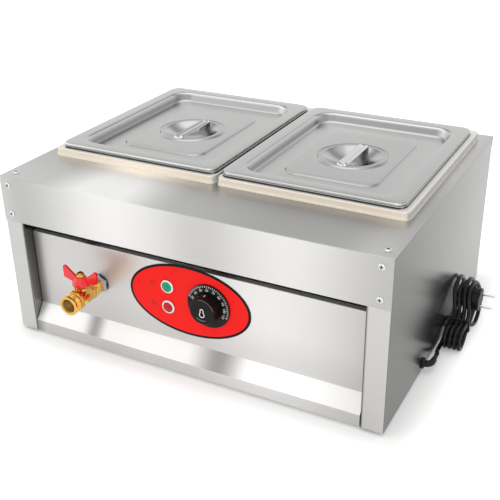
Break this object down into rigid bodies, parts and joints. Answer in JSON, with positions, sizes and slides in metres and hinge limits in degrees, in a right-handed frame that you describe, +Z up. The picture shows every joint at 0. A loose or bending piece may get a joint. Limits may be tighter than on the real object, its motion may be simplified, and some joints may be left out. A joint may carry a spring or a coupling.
{
  "type": "bain marie",
  "caption": "Countertop bain marie with lidded half-size gastronorm pans in a steel case, an oval control plate with a dial and lamps, a brass drain valve and a coiled cord.",
  "frame": {"origin": "on the table, under the middle of the box round the case, the valve and the lids, without the cord", "axes": "+X to the right seen from the front, +Y to the back, +Z up"},
  "size_m": [0.6504, 0.5224, 0.2736],
  "materials": {
    "case_steel": "fine lengthwise brushing",
    "panel_steel": "smooth, faintly mirroring",
    "collar_steel": "satin",
    "pan_steel": "satin",
    "lid_steel": "satin field with a polished bowl",
    "tank_steel": "mill finish",
    "element_steel": "dull",
    "screw_steel": "polished",
    "bezel_chrome": "polished",
    "brass": "satin",
    "capillary_metal": "drawn",
    "plate_red": "printed film with a black border",
    "handle_red": "gloss enamel",
    "lens_green": "clear, domed",
    "lens_red": "clear, domed",
    "dial_black": "satin with white marks",
    "knob_black": "gloss",
    "inner_plastic": "moulded",
    "block_plastic": "moulded",
    "seat_white": "turned",
    "foot_rubber": "moulded",
    "cord_black": "smooth",
    "tie_black": "smooth",
    "plug_black": "fine grain",
    "pin_metal": "polished"
  },
  "bodies": {
    "case": {"top_deck": "case_steel", "left_side_panel": "case_steel", "right_side_panel": "case_steel", "front_panel": "panel_steel", "back_panel": "case_steel", "base_plate": "case_steel", "rubber_feet": "foot_rubber", "fascia_screws": "screw_steel", "deck_screws": "screw_steel", "back_screws": "screw_steel", "foot_screws": "screw_steel", "left_collar": "collar_steel", "right_collar": "collar_steel", "tank_floor_plate": "tank_steel", "tank_front_wall": "tank_steel", "tank_back_wall": "tank_steel", "tank_left_wall": "tank_steel", "tank_right_wall": "tank_steel", "heating_element": "element_steel", "element_nuts": "brass", "thermostat_bulb": "capillary_metal", "bulb_gland": "brass", "thermostat_capillary": "capillary_metal", "thermostat_body": "inner_plastic", "terminal_block": "block_plastic", "control_plate": "plate_red", "dial_ring": "dial_black", "power_lamp_bezel": "bezel_chrome", "power_lamp_lens": "lens_green", "power_lamp_body": "inner_plastic", "heating_lamp_bezel": "bezel_chrome", "heating_lamp_lens": "lens_red", "heating_lamp_body": "inner_plastic", "drain_pipe": "brass", "drain_gasket": "foot_rubber", "drain_lock_nut": "bezel_chrome", "valve_body": "brass", "valve_seats": "seat_white", "packing_nut": "brass", "cord_gland": "cord_black", "power_cord": "cord_black", "power_cord_hank": "cord_black", "cord_tie": "tie_black", "plug_body": "plug_black", "plug_pins": "pin_metal"},
    "left_pan": {"left_pan": "pan_steel"},
    "right_pan": {"right_pan": "pan_steel"},
    "left_lid": {"left_lid": "lid_steel", "left_lid_strap": "lid_steel"},
    "right_lid": {"right_lid": "lid_steel", "right_lid_strap": "lid_steel"},
    "thermostat_knob": {"knob": "knob_black", "thermostat_shaft": "screw_steel"},
    "drain_handle": {"valve_handle": "handle_red", "handle_nut": "brass", "valve_stem": "brass", "valve_ball": "bezel_chrome"}
  },
  "joints": [
    {"name": "left_pan_lift", "type": "slide", "parent": "case", "child": "left_pan", "axis": [0, 0, 1], "range_m": [0, 0.13]},
    {"name": "right_pan_lift", "type": "slide", "parent": "case", "child": "right_pan", "axis": [0, 0, 1], "range_m": [0, 0.13]},
    {"name": "left_lid_lift", "type": "slide", "parent": "left_pan", "child": "left_lid", "axis": [0, 0, 1], "range_m": [0, 0.12]},
    {"name": "right_lid_lift", "type": "slide", "parent": "right_pan", "child": "right_lid", "axis": [0, 0, 1], "range_m": [0, 0.12]},
    {"name": "thermostat_turn", "type": "hinge", "parent": "case", "child": "thermostat_knob", "pos_m": [0.0355, -0.2, 0.1168], "axis": [0, 1, 0], "range_deg": [-75, 118]},
    {"name": "drain_turn", "type": "hinge", "parent": "case", "child": "drain_handle", "pos_m": [-0.147, -0.22845, 0.137], "axis": [0, 0, 1], "range_deg": [0, 90]}
  ]
}
